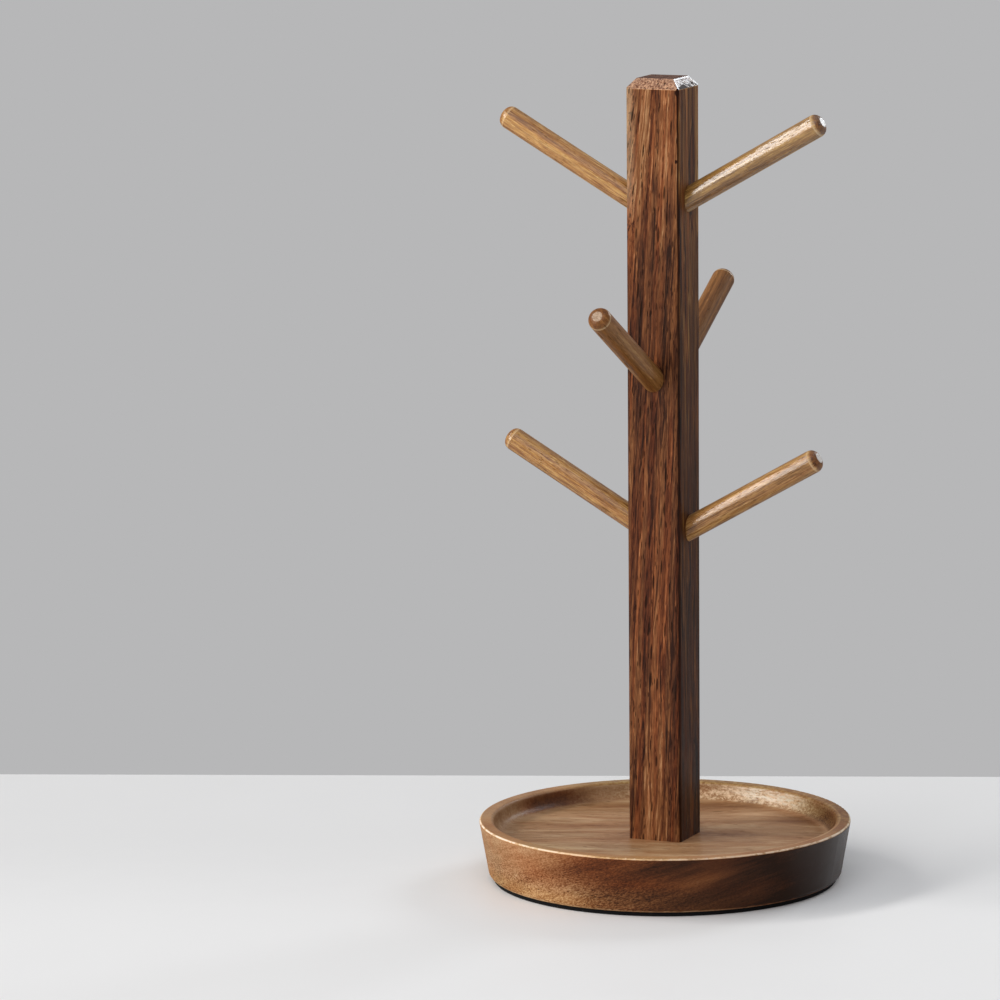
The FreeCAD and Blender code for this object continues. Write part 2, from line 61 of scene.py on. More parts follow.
class Graph:
    """Short calls for the shader nodes that a material is made of."""

    def __init__(self, name):
        self.material = bpy.data.materials.new(name)
        self.material.use_nodes = True
        self.tree = self.material.node_tree
        self.tree.nodes.clear()

    def node(self, kind, inputs=(), **settings):
        """A node with its settings, and with inputs given as {name or number: value or socket}."""
        made = self.tree.nodes.new(kind)
        for key, value in settings.items():
            setattr(made, key, value)
        for key, value in dict(inputs).items():
            self.put(made.inputs[key], value)
        return made

    def put(self, socket, value):
        """Link a socket's output, or set a plain value."""
        if isinstance(value, bpy.types.NodeSocket):
            self.tree.links.new(value, socket)
        else:
            socket.default_value = value

    # Numbers.

    def math(self, operation, *values, clamp=False):
        made = self.node("ShaderNodeMath", enumerate(values), operation=operation, use_clamp=clamp)
        return made.outputs[0]

    def plus(self, first, second, clamp=False):
        return self.math("ADD", first, second, clamp=clamp)

    def minus(self, first, second):
        return self.math("SUBTRACT", first, second)

    def times(self, first, second):
        return self.math("MULTIPLY", first, second)

    def add_to(self, base, value, share):
        """A base plus a share of a value."""
        return self.math("MULTIPLY_ADD", value, share, base)

    def most(self, first, second):
        return self.math("MAXIMUM", first, second)

    def magnitude(self, value):
        return self.math("ABSOLUTE", value)

    def centred(self, noise):
        """Noise moved to lie about 0."""
        return self.minus(noise, 0.5)

    def stark(self, noise):
        """Noise moved to lie about 0, with more contrast."""
        return self.soft(noise, 0.36, 0.64, -0.5, 0.5)

    def mix_value(self, factor, first, second):
        """One number turning into another as the factor goes from 0 to 1."""
        return self.add_to(first, self.minus(second, first), factor)

    def remap(self, value, low, high, to_low=0.0, to_high=1.0, kind="LINEAR"):
        made = self.node("ShaderNodeMapRange", {
            "Value": value, "From Min": low, "From Max": high,
            "To Min": to_low, "To Max": to_high}, interpolation_type=kind)
        return made.outputs[0]

    def soft(self, value, low, high, to_low=0.0, to_high=1.0):
        return self.remap(value, low, high, to_low, to_high, "SMOOTHSTEP")

    # Vectors and places.

    def vector(self, operation, *values):
        made = self.node("ShaderNodeVectorMath", enumerate(values), operation=operation)
        return made.outputs["Value" if operation in ("LENGTH", "DOT_PRODUCT", "DISTANCE") else "Vector"]

    def dot(self, first, second):
        return self.vector("DOT_PRODUCT", first, second)

    def distance(self, first, second):
        return self.vector("DISTANCE", first, second)

    def split(self, vector):
        made = self.node("ShaderNodeSeparateXYZ", {0: vector})
        return made.outputs[0], made.outputs[1], made.outputs[2]

    def join(self, x, y, z):
        return self.node("ShaderNodeCombineXYZ", {0: x, 1: y, 2: z}).outputs[0]

    def reach(self, x, y):
        """The distance from the Z axis."""
        return self.math("POWER", self.plus(self.times(x, x), self.times(y, y)), 0.5)

    def rotate(self, vector, degrees, axis):
        made = self.node("ShaderNodeVectorRotate", {"Vector": vector, "Angle": radians(degrees)},
                         rotation_type=axis)
        return made.outputs[0]

    # Patterns.

    def noise_node(self, vector, size, seed, detail, rough, warp):
        scaled = self.vector("DIVIDE", vector, size)
        return self.node("ShaderNodeTexNoise", {
            "Vector": scaled, "W": seed, "Scale": 1.0, "Detail": detail,
            "Roughness": rough, "Distortion": warp}, noise_dimensions="4D")

    def noise(self, vector, size, seed, detail=2.0, rough=0.5, warp=0.0):
        """Noise from about 0 to 1, whose features have a size in mm along each axis."""
        return self.noise_node(vector, size, seed, detail, rough, warp).outputs[0]

    def noise_vector(self, vector, size, seed, detail):
        """Three numbers from such noise, moved to lie about 0."""
        made = self.noise_node(vector, size, seed, detail, 0.5, 0.0)
        return self.vector("SUBTRACT", made.outputs["Color"], (0.5, 0.5, 0.5))

    def cells(self, vector, size, shift):
        """Cells of a size in mm: the distance to the nearest centre, and a random colour each."""
        moved = self.vector("DIVIDE", self.vector("ADD", vector, shift), size)
        made = self.node("ShaderNodeTexVoronoi", {"Vector": moved, "Scale": 1.0, "Randomness": 1.0})
        return made.outputs["Distance"], made.outputs["Color"]

    # Colours and surfaces.

    def ramp(self, value, stops):
        """A colour ramp through (place, colour) stops."""
        made = self.node("ShaderNodeValToRGB", {"Fac": value})
        elements = made.color_ramp.elements
        while len(elements) < len(stops):
            elements.new(0.5)
        for element, (place, shade) in zip(elements, stops):
            element.position = place
            element.color = shade
        return made.outputs["Color"]

    def mix(self, factor, first, second, blend="MIX"):
        made = self.node("ShaderNodeMix", data_type="RGBA", blend_type=blend)
        self.put(made.inputs[0], factor)
        self.put(made.inputs[6], first)
        self.put(made.inputs[7], second)
        return made.outputs[2]

    def filter(self, factor, tint, shade):
        """A colour seen through another."""
        return self.mix(factor, tint, shade, "MULTIPLY")

    def bump(self, height, depth, strength):
        """Bump from a height of 0 to 1 that stands for a depth in mm."""
        made = self.node("ShaderNodeBump", {
            "Height": height, "Distance": depth * MM, "Strength": strength})
        return made.outputs["Normal"]

    def finish(self, inputs):
        """The material, whose surface shader has its sockets set by name."""
        shader = self.node("ShaderNodeBsdfPrincipled", inputs)
        output = self.node("ShaderNodeOutputMaterial")
        self.tree.links.new(shader.outputs[0], output.inputs[0])
        return self.material


# ---------------------------------------------------------------- wood

# Added to a piece's seed, so that its noises differ.
SEEDS = {
    "slow": 0.0, "quick": 3.1, "uneven": 5.7, "broad": 11.3, "narrow": 17.9, "fleck": 19.9,
    "fibre": 23.1, "patch": 31.7, "speck": 41.1, "hold": 43.7, "vein": 47.9, "oil": 53.3,
}
# How detailed and how rough the noises of the streaks and fibres are.
STREAKS = {"broad": (2.0, 0.5), "narrow": (2.0, 0.5), "fibre": (3.0, 0.7), "fleck": (3.0, 0.6)}


def grain_frame(graph, origin=(0, 0, 0), turn=(0, 0, 0)):
    """Coordinates in mm with Z along the grain, for a piece at an origin and turned so."""
    place = graph.node("ShaderNodeTexCoord").outputs["Object"]
    made = graph.node("ShaderNodeMapping", {
        "Vector": place, "Location": [value * MM for value in origin],
        "Rotation": [radians(value) for value in turn], "Scale": (MM, MM, MM)},
        vector_type="TEXTURE")
    return made.outputs[0]


def pore_shift(seed):
    """Three numbers in mm by which a piece's pores are moved."""
    return seed * 37.0, seed * 17.0, seed * 91.0


def pore_mask(graph, place, size, shift, count):
    """1 inside a pore and 0 outside; size is a cell's in mm, and count the share that hold a pore."""
    distance, random = graph.cells(place, size, shift)
    chance, width, _ = graph.split(random)
    present = graph.math("LESS_THAN", chance, count)
    radius = graph.remap(width, 0.0, 1.0, 0.18, 0.34)
    near = graph.math("DIVIDE", distance, radius)
    return graph.times(graph.soft(near, 0.6, 1.0, 1.0, 0.0), present)


def wavering(graph, look, place, seed):
    """The grain wavers slowly over a hand's width, and quickly over a finger's."""
    bent = place
    for kind, detail in (("slow", 1.0), ("quick", 2.0)):
        push = graph.noise_vector(place, look[f"{kind}_size"], seed + SEEDS[kind], detail)
        bent = graph.vector("ADD", bent, graph.vector("MULTIPLY", push, look[f"{kind}_waver"]))
    return look["lean"](graph, place, bent) if "lean" in look else bent


def growth_rings(graph, look, bent, seed):
    """Growth rings from 0 to 1, round a pith that lies outside the piece."""
    x, y, _ = graph.split(graph.vector("SUBTRACT", bent, look["pith"]))
    turns = graph.math("DIVIDE", graph.reach(x, y), look["ring"])
    uneven = graph.noise(bent, (60, 60, 900), seed + SEEDS["uneven"], detail=0.0)
    part = graph.math("FRACT", graph.plus(turns, graph.times(uneven, 2.4)))
    return graph.times(graph.soft(part, 0.1, 0.86), graph.soft(part, 0.9, 1.0, 1.0, 0.0))


def veins(graph, look, bent, seed, streaky):
    """Thin dark veins with a lighter line beside each, broken up along the grain."""
    course = graph.noise(bent, look["vein_size"], seed + SEEDS["vein"], detail=2.0, rough=0.4)
    course = graph.math("DIVIDE", graph.centred(course), 0.08)
    dark = graph.soft(graph.magnitude(graph.plus(course, 0.5)), 0.0, 0.6, -1.0, 0.0)
    light = graph.soft(graph.magnitude(graph.minus(course, 0.5)), 0.0, 0.7, 0.7, 0.0)
    hold = graph.noise(bent, look["vein_hold"], seed + SEEDS["hold"], detail=1.0)
    hold = graph.times(graph.soft(hold, 0.40, 0.56), look["vein"])
    return graph.times(graph.plus(dark, light), graph.times(hold, streaky))


def lean_hues(graph, look, bent, seed, tint):
    """Streaks and patches lean redder or yellower."""
    patch = graph.noise(bent, look["patch_size"], seed + SEEDS["patch"], detail=3.0, rough=0.6)
    tint = graph.filter(graph.soft(patch, 0.40, 0.54, look["patch"], 0.0), tint, look["red_tint"])
    return graph.filter(graph.soft(patch, 0.48, 0.62, 0.0, look["patch"]), tint, look["tan_tint"])


def end_grain(graph, look, bent, seed, shade, end, tint):
    """End grain takes in more oil and shows its pores as dots."""
    speck = graph.noise(bent, look["speck_size"], seed + SEEDS["speck"], detail=2.0, rough=0.7)
    speck = graph.add_to(speck, graph.minus(shade, look["level"]), 0.25)
    dots = graph.mix(graph.soft(speck, 0.36, 0.62), look["end_dark"], look["end_light"])
    return graph.mix(graph.times(end, look["end_share"]), tint, dots)


def domed_tip(graph, look, facing, tint):
    """A peg's tip has painted shade over its dome, and a painted highlight along the ring where the dome
    starts.
    """
    # Painted shade over the dome.
    dome = graph.times(graph.soft(facing, 0.30, 0.60), graph.soft(facing, 0.92, 0.97, 1.0, 0.0))
    tint = graph.filter(dome, tint, look["dome"])
    # Painted highlight along the ring where the dome starts.
    arris = graph.times(graph.soft(facing, 0.02, 0.10), graph.soft(facing, 0.20, 0.40, 0.4, 0.0))
    return graph.mix(arris, tint, look["arris"])


def open_pores(graph, look, bent, seed, narrow, lively):
    """Open pores: fine ones that crowd into the dark streaks, and longer coarse ones here and there."""
    a, b, c = pore_shift(seed)
    crowd = graph.times(graph.soft(narrow, -0.12, 0.10, 1.5, 0.45), look["fine_count"])
    fine = pore_mask(graph, bent, look["fine_pore"], (a, b, c), crowd)
    coarse = pore_mask(graph, bent, look["coarse_pore"], (b, c, a), look["coarse_count"])
    return graph.times(graph.most(fine, coarse), lively)


def relief(graph, look, ring, fibre, pores, end):
    """The bumped normal: sunk pores, fine fibres and late wood, nearly flat on end grain."""
    height = graph.add_to(graph.times(fibre, look["fibre_height"]), pores, -1.0)
    height = graph.add_to(height, ring, 0.12)
    height = graph.times(height, graph.add_to(1.0, end, -0.85))
    return graph.bump(height, look["pore_depth"], look["bump"])


def oil_film(graph, look, row, normal, pores, end):
    """The oil stands as a film on side grain, and soaks away into pores and end grain."""
    film = graph.add_to(look["coat"], end, look["end_coat"] - look["coat"])
    if "film" in look:
        film = look["film"](graph, row, normal, film)
    film = graph.times(film, graph.add_to(1.0, pores, -1.0))
    if "graze" in look:
        askance = graph.node("ShaderNodeLayerWeight", {"Blend": 0.5}).outputs["Facing"]
        thin = graph.most(graph.soft(askance, 0.35, 0.85, 1.0, look["graze"]), end)
        film = graph.times(film, thin)
    return film


def wood(name, look, origin=(0, 0, 0), turn=(0, 0, 0), seed=0.0):
    """Oiled hardwood: growth rings, streaks, fibres and open pores, all running along the grain."""
    graph = Graph(name)
    place = grain_frame(graph, origin, turn)
    row = grain_frame(graph)
    normal = graph.node("ShaderNodeTexCoord").outputs["Normal"]
    bent = wavering(graph, look, place, seed)
    ring = growth_rings(graph, look, bent, seed)
    a, b, c = pore_shift(seed)

    # Broad and narrow streaks, and the fibre. Some faces show them more than others.
    lively, streaky = look["faces"](graph, row, normal) if "faces" in look else (1.0, 1.0)
    broad, narrow, fibre, fleck = (
        graph.noise(bent, look[f"{kind}_size"], seed + SEEDS[kind], detail, rough)
        for kind, (detail, rough) in STREAKS.items())
    shade = graph.add_to(look["level"], graph.centred(broad), look["broad"])
    narrow = graph.times(graph.centred(narrow), streaky)
    shade = graph.add_to(shade, narrow, look["narrow"])
    fine = graph.times(graph.stark(fleck), look["fleck"])
    fine = graph.add_to(fine, graph.centred(fibre), look["fibre"])
    hairs = pore_mask(graph, bent, look["hair_size"], (c, a, b), look["hair_count"])
    fine = graph.add_to(fine, hairs, look["hair"])
    shade = graph.add_to(shade, fine, lively)
    shade = graph.plus(shade, veins(graph, look, bent, seed, streaky))
    shade = graph.add_to(shade, ring, -look["ring_depth"])
    if "marks" in look:
        shade = look["marks"](graph, row, normal, bent, shade)

    # The colour, from which end grain differs.
    tint = lean_hues(graph, look, bent, seed, graph.ramp(shade, look["tones"]))
    axis = Matrix.Rotation(radians(turn[2]), 3, "Z") @ Matrix.Rotation(radians(turn[1]), 3, "Y")
    facing = graph.magnitude(graph.dot(normal, tuple(axis @ Vector((0, 0, 1)))))
    end = graph.soft(facing, look["end_from"], look["end_to"])
    tint = end_grain(graph, look, bent, seed, shade, end, tint)
    if "dome" in look:
        tint = domed_tip(graph, look, facing, tint)
    if "stain" in look:
        tint = look["stain"](graph, row, normal, tint)

    pores = open_pores(graph, look, bent, seed, narrow, lively)
    tint = graph.mix(graph.times(pores, look["pore_share"]), tint, look["pore_tint"])

    # The oil lies a little unevenly, and not in the pores.
    oil = graph.noise(place, (9, 9, 30), seed + SEEDS["oil"], detail=3.0, rough=0.65)
    rough = graph.remap(oil, 0.3, 0.7, look["rough"] - 0.06, look["rough"] + 0.07)
    rough = graph.add_to(rough, pores, 0.25)
    rough = graph.add_to(rough, end, look["end_rough"])

    bumped = relief(graph, look, ring, fibre, pores, end)
    film = oil_film(graph, look, row, normal, pores, end)
    return graph.finish({
        "Base Color": tint, "Roughness": rough, "Normal": bumped, "IOR": 1.5,
        "Specular IOR Level": look["gloss"], "Coat Weight": film, "Coat Normal": bumped,
        "Coat Roughness": look["coat_rough"], "Coat IOR": 1.6})


# ---------------------------------------------------------------- the post's own figure

# A look may name functions of its own. "lean" gets the place along the grain and bends it further.
# The others get the place on the stand in mm and the normal: "faces" says how lively and how streaky
# a face is, "marks" changes the shade, "stain" the colour, and "film" the coat.

def post_lean(graph, place, bent):
    """High on the post the grain leans in from the left edge."""
    x, _, z = graph.split(place)
    push = graph.times(graph.soft(z, -28.0, 60.0, 0.0, -6.0), graph.soft(x, -16.0, 6.0, 1.0, 0.0))
    return graph.vector("ADD", bent, graph.join(push, 0.0, 0.0))


def post_faces(graph, place, normal):
    """Flecks and pores are strong on the post's front and back, and faint on its sides."""
    across = graph.magnitude(graph.split(normal)[1])
    return graph.soft(across, 0.3, 0.8, 0.25, 1.0), graph.soft(across, 0.3, 0.8, 1.3, 1.0)


def post_bevels(graph, normal):
    """1 on the sawn bevels round the post's top, and 0 elsewhere."""
    level = graph.split(normal)[2]
    return graph.times(graph.soft(level, 0.35, 0.6), graph.soft(level, 0.85, 0.95, 1.0, 0.0))


def post_torn(graph, place):
    """Torn grain on the right and left bevels, from 0 to 1: slanted dashes, most of them low down."""
    turned = graph.rotate(place, 19, "X_AXIS")
    dashes = graph.noise(turned, (3.0, 5.5, 1.0), seed=83.0, detail=2.0, rough=0.6)
    low = graph.soft(graph.split(place)[2], BEVEL_START, POST_TOP - 1.5, 0.08, -0.05)
    return graph.soft(graph.plus(dashes, low), 0.50, 0.56)


def post_arris(graph, place):
    """1 along the rounded edges between two bevels, and between a bevel and the flat top."""
    x, y, z = graph.split(place)
    apart = graph.magnitude(graph.minus(graph.magnitude(x), graph.magnitude(y)))
    return graph.most(graph.soft(apart, 1.0, 2.2, 1.0, 0.0),
                      graph.soft(z, POST_TOP - 0.9, POST_TOP - 0.5))


def post_film(graph, place, normal, film):
    """The bevels are waxed brighter than the rest, most at their arrises, between dashes of torn grain."""
    spots = graph.noise(place, (1.8, 2.4, 1.0), seed=89.0, detail=2.0)
    wax = graph.mix_value(post_torn(graph, place), graph.soft(spots, 0.40, 0.60, 0.26, 0.62), 0.0)
    wax = graph.most(wax, post_arris(graph, place))
    return graph.plus(film, graph.times(post_bevels(graph, normal), wax))


def post_stain(graph, place, normal, tint):
    """The flat top is tinted grey as a painted reflection, the left edge has gone grey, the sides darken
    downward as painted shade, and torn grain is dark.
    """
    nx, _, nz = graph.split(normal)
    x, y, z = graph.split(place)
    # Painted reflection: the flat top is tinted grey, as the grey backdrop would show in it.
    tint = graph.filter(graph.soft(nz, 0.88, 0.97), tint, colour(158, 152, 156))
    faded = graph.times(graph.soft(x, -12.0, -7.0, 0.5, 0.0), graph.soft(z, 315.0, 340.0))
    faded = graph.times(faded, graph.soft(y, -POST_HALF, -POST_HALF + 7.0, 1.0, 0.0))
    tint = graph.mix(faded, tint, colour(152, 126, 98))
    sideways = graph.magnitude(nx)
    side = graph.soft(sideways, 0.6, 0.9)
    tint = graph.filter(side, tint, colour(240, 246, 224))
    # Painted shade: the sides are darker lower down.
    low = graph.times(graph.soft(z, 235.0, 335.0, 0.95, 0.0), side)
    tint = graph.filter(low, tint, colour(194, 180, 148))

    # The front and back bevels show end grain as crumbs; the right and left ones are sawn and torn.
    bevels = post_bevels(graph, normal)
    crumb = graph.noise(place, (1.0, 1.0, 1.0), seed=87.0, detail=3.0, rough=0.65)
    crumbs = graph.mix(graph.soft(crumb, 0.40, 0.64), colour(92, 54, 38), colour(196, 152, 120))
    ends = graph.times(graph.soft(sideways, 0.3, 0.6, 0.7, 0.0), bevels)
    tint = graph.mix(ends, tint, crumbs)
    sawn = graph.times(graph.soft(sideways, 0.3, 0.6), bevels)
    tint = graph.mix(graph.times(sawn, 0.6), tint, colour(132, 126, 126))
    torn = graph.times(graph.times(post_torn(graph, place), 0.95), sawn)
    return graph.mix(torn, tint, colour(44, 34, 32))


def post_marks(graph, place, normal, bent, shade):
    """Broad marks of this post: a pale left edge, dark streaks, a dark corner, three pin knots, and
    painted shade low down and across the middle of the front.
    """
    x, y, z = graph.split(place)
    front = graph.soft(y, -POST_HALF + 3.0, -POST_HALF + 5.5, 1.0, 0.0)
    pale = graph.times(graph.soft(x, -11.5, -7.5, 1.0, 0.0), graph.soft(z, 275.0, 335.0))
    pale = graph.times(pale, graph.soft(y, -POST_HALF, -POST_HALF + 7.0, 1.0, 0.0))
    shade = graph.add_to(shade, pale, 0.26)
    curl = graph.noise(place, (1.5, 1.5, 3.6), seed=91.0, detail=3.0, rough=0.6, warp=1.2)
    curl = graph.times(graph.soft(curl, 0.40, 0.47, 1.0, 0.0), pale)
    shade = graph.add_to(shade, curl, -0.6)
    streak = graph.magnitude(graph.plus(graph.split(bent)[0], 2.9))
    shade = graph.add_to(shade, graph.soft(streak, 0.0, 2.3, -0.13, 0.0), front)
    # Painted shade: the post is darker lower down.
    shade = graph.plus(shade, graph.soft(z, 150.0, 330.0, -0.10, 0.0))

    # Painted shadow: the front is darker in the middle of its height.
    middle = graph.times(graph.soft(z, 50.0, 110.0), graph.soft(z, 305.0, 348.0, -0.11, 0.0))
    upper = graph.times(graph.soft(z, 190.0, 250.0), graph.soft(z, 300.0, 345.0, -0.10, 0.0))
    shade = graph.add_to(shade, graph.plus(middle, upper), front)

    # Along the front right corner runs a dark vein, with a light one beside it.
    corner = graph.times(graph.soft(x, 11.0, 11.6), graph.soft(y, -11.4, -10.8, 1.0, 0.0))
    waver = graph.noise(place, (9, 9, 22), seed=95.0, detail=2.0)
    along = graph.add_to(graph.plus(x, y), graph.centred(waver), 1.6)
    for centre, width, depth, low in ((0.2, 0.75, -0.85, 300.0), (-1.1, 0.6, 0.30, 345.0)):
        away = graph.magnitude(graph.minus(along, centre))
        vein = graph.times(graph.soft(away, width * 0.4, width, 1.0, 0.0), corner)
        shade = graph.add_to(shade, graph.times(vein, graph.soft(z, low, low + 40.0, 0.25, 1.0)), depth)

    # The flat top is darker, and the edge under the bevels is lighter here and there.
    top = graph.times(graph.soft(z, POST_TOP - 0.8, POST_TOP - 0.4),
                      graph.soft(graph.split(normal)[2], 0.9, 0.98))
    shade = graph.add_to(shade, top, -0.15)
    edge = graph.magnitude(graph.minus(z, BEVEL_START))
    lighter_spots = graph.noise(place, (1.4, 1.4, 1.4), seed=97.0, detail=2.0)
    lighter_spots = graph.soft(lighter_spots, 0.36, 0.56, 0.1, 0.8)
    shade = graph.add_to(shade, graph.soft(edge, 0.08, 0.3, 1.0, 0.0), lighter_spots)
    for centre, size in PIN_KNOTS:
        away = graph.distance(graph.vector("DIVIDE", place, (1.0, 1.0, KNOT_STRETCH)),
                              (centre[0], centre[1], centre[2] / KNOT_STRETCH))
        shade = graph.add_to(shade, graph.soft(away, size * 0.5, size, 1.0, 0.0), -0.9)
    return shade


# Pin knots of the post, longer along the grain: centre and size in mm.
KNOT_STRETCH = 1.6
PIN_KNOTS = (
    ((12.3, -POST_HALF, 349.9), 0.75), ((POST_HALF, 2.4, 323.9), 0.9), ((12.7, -12.9, 382.6), 1.3),
)


# ---------------------------------------------------------------- the tray's own figure

class Tray:
    """Where a place is on the tray: on its outer wall, rim or cove, each from 0 to 1, and how far out."""

    def __init__(self, graph, place):
        self.x, y, self.z = graph.split(place)
        self.reach = graph.reach(self.x, y)
        self.wall = graph.times(graph.soft(self.reach, MOUTH_REACH + 1.0, MOUTH_REACH + 2.0),
                                graph.soft(self.z, TRAY_TOP - 1.0, TRAY_TOP - 0.7, 1.0, 0.0))
        self.rim = graph.times(graph.soft(self.reach, MOUTH_REACH - 2.5, MOUTH_REACH - 1.5),
                               graph.soft(self.z, TRAY_TOP - 1.1, TRAY_TOP - 0.7))
        cove = graph.times(graph.soft(self.reach, 70.0, 74.0),
                           graph.soft(self.reach, MOUTH_REACH - 1.0, MOUTH_REACH + 1.0, 1.0, 0.0))
        self.cove = graph.times(cove, graph.soft(self.z, TRAY_FLOOR + 0.2, TRAY_FLOOR + 1.3))

    def outer_edge(self, graph, inward, down):
        """1 on the rim's rounded outer edge, from so far in and so far down."""
        return graph.times(graph.soft(self.reach, TRAY_REACH - inward, TRAY_REACH - inward + 0.4),
                           graph.soft(self.z, TRAY_TOP - down, TRAY_TOP - down + 0.3))


def tray_highlight_breakup(graph, place):
    """Noise that breaks up the painted highlights along the tray's edges."""
    return graph.noise(place, (5, 5, 3), seed=71.0, detail=4.0, rough=0.65)


def tray_faces(graph, place, normal):
    """The turned wall, rim and cove are sanded finer than the floor, so streaks and pores are faint."""
    tray = Tray(graph, place)
    turned = graph.plus(graph.plus(tray.wall, tray.rim), tray.cove, clamp=True)
    return graph.add_to(0.9, turned, -0.75), graph.add_to(1.0, turned, -0.8)


def tray_film(graph, place, normal, film):
    """The hollow is waxed more than the outer wall, but for the wall's right side."""
    tray = Tray(graph, place)
    film = graph.times(film, graph.add_to(1.0, tray.wall, -0.8))
    return graph.add_to(film, tray.wall, graph.soft(tray.x, 76.0, TRAY_REACH - 0.2, 0.0, 0.38))


def tray_stain(graph, place, normal, tint):
    """The tray's hues: pale crumbs at the back of the cove, partly painted highlight, a red wall, a golden
    foot and front, and a pale edge that is a painted highlight.
    """
    tray = Tray(graph, place)
    x, z = tray.x, tray.z
    behind = graph.dot(place, BEHIND)

    # Painted highlight: the crumbs at the back of the cove are pale, partly torn grain and partly painted
    # glints; its right side is browner.
    crumb = graph.noise(place, (5.5, 4.0, 1.1), seed=68.0, detail=3.0, rough=0.7, warp=0.7)
    away = graph.distance(place, (26.0, 76.0, 28.5))
    crumbs_and_glints = graph.times(graph.soft(crumb, 0.44, 0.58, 0.06, 0.95),
                           graph.soft(away, 8.0, 28.0, 1.0, 0.0))
    crumbs_and_glints = graph.times(crumbs_and_glints, graph.soft(z, 22.0, 25.5, 0.2, 1.0))
    tint = graph.mix(graph.times(crumbs_and_glints, tray.cove), tint, colour(222, 210, 190))
    browned = graph.times(tray.cove, graph.soft(x, 24.0, 56.0))
    tint = graph.filter(browned, tint, colour(232, 244, 236))

    # High up the outer wall leans redder, and at its foot on the left it is golden.
    red = graph.times(graph.soft(z, 8.0, 17.0), graph.soft(x, -60.0, -30.0))
    red = graph.times(red, graph.soft(x, 10.0, 50.0, 1.0, 0.3))
    tint = graph.filter(graph.times(red, tray.wall), tint, colour(255, 234, 222))
    foot = graph.times(graph.soft(z, 5.0, 13.0, 1.0, 0.0), graph.soft(x, -20.0, 20.0, 1.0, 0.0))
    tint = graph.filter(graph.times(foot, tray.wall), tint, colour(255, 250, 228))

    # The front of the floor, the cove and the rim is golden too, and the back of the rim greener.
    golden = graph.soft(behind, -70.0, -34.0, 0.9, 0.0)
    golden = graph.times(golden, graph.soft(x, 10.0, 50.0, 1.0, 0.0))
    golden = graph.times(golden, graph.minus(1.0, tray.wall))
    tint = graph.filter(golden, tint, colour(255, 250, 226))
    tint = graph.filter(tray.rim, tint, colour(254, 246, 236))
    far = graph.soft(behind, 10.0, 50.0)
    tint = graph.filter(graph.times(far, tray.rim), tint, colour(242, 248, 226))

    # Painted highlight: the outer edge of the rim is pale, but for its left end and a stretch at the
    # right.
    edge = tray.outer_edge(graph, 0.9, 0.8)
    edge = graph.times(edge, graph.soft(tray_highlight_breakup(graph, place), 0.38, 0.56, 0.1, 0.95))
    ends = graph.plus(graph.soft(x, -50.0, 0.0, 1.0, 0.4), graph.soft(x, 20.0, 60.0, 0.0, 0.3))
    edge = graph.times(edge, graph.times(ends, graph.soft(x, -88.0, -76.0, 0.3, 1.0)))
    return graph.mix(edge, tint, colour(228, 212, 196))


def tray_marks(graph, place, normal, bent, shade):
    """The tray's own figure: a dark right side, partly painted shade, a flecked cove with painted
    highlight and shade, a cloudy floor, and edges made pale by painted highlight.
    """
    tray = Tray(graph, place)
    behind = graph.dot(place, BEHIND)
    slant = graph.rotate(place, WALL_SLANT, "Y_AXIS")
    speckle = graph.stark(graph.noise(slant, (1.5, 1.0, 0.6), seed=61.0, detail=3.0, rough=0.75))
    cloud = graph.centred(graph.noise(slant, (34, 20, 7), seed=64.0, detail=2.0))
    # Crumbs of torn grain; at the back of the cove they also stand as painted highlight.
    crumb = graph.noise(place, (2.4, 1.8, 1.5), seed=67.0, detail=4.0, rough=0.7, warp=0.6)
    crumb = graph.soft(crumb, 0.40, 0.62, -0.20, 0.22)
    shade = wall_marks(graph, tray, place, slant, speckle, cloud, shade)
    shade = cove_marks(graph, tray, place, behind, crumb, shade)
    shade = floor_marks(graph, tray, place, behind, bent, shade)
    plain = rim_marks(graph, tray, behind, speckle, cloud, crumb)
    shade = graph.mix_value(graph.times(tray.rim, 0.75), shade, plain)

    # Painted highlight: the rounded edges of the rim and of the foot are lighter.
    edge_glint = graph.soft(tray_highlight_breakup(graph, place), 0.38, 0.58, 0.16, 0.66)
    foot = graph.times(graph.soft(tray.z, 2.7, 3.4, 1.0, 0.0), 0.5)
    edge = graph.most(tray.outer_edge(graph, 1.1, 0.95), graph.times(foot, tray.wall))
    return graph.add_to(shade, edge, edge_glint)


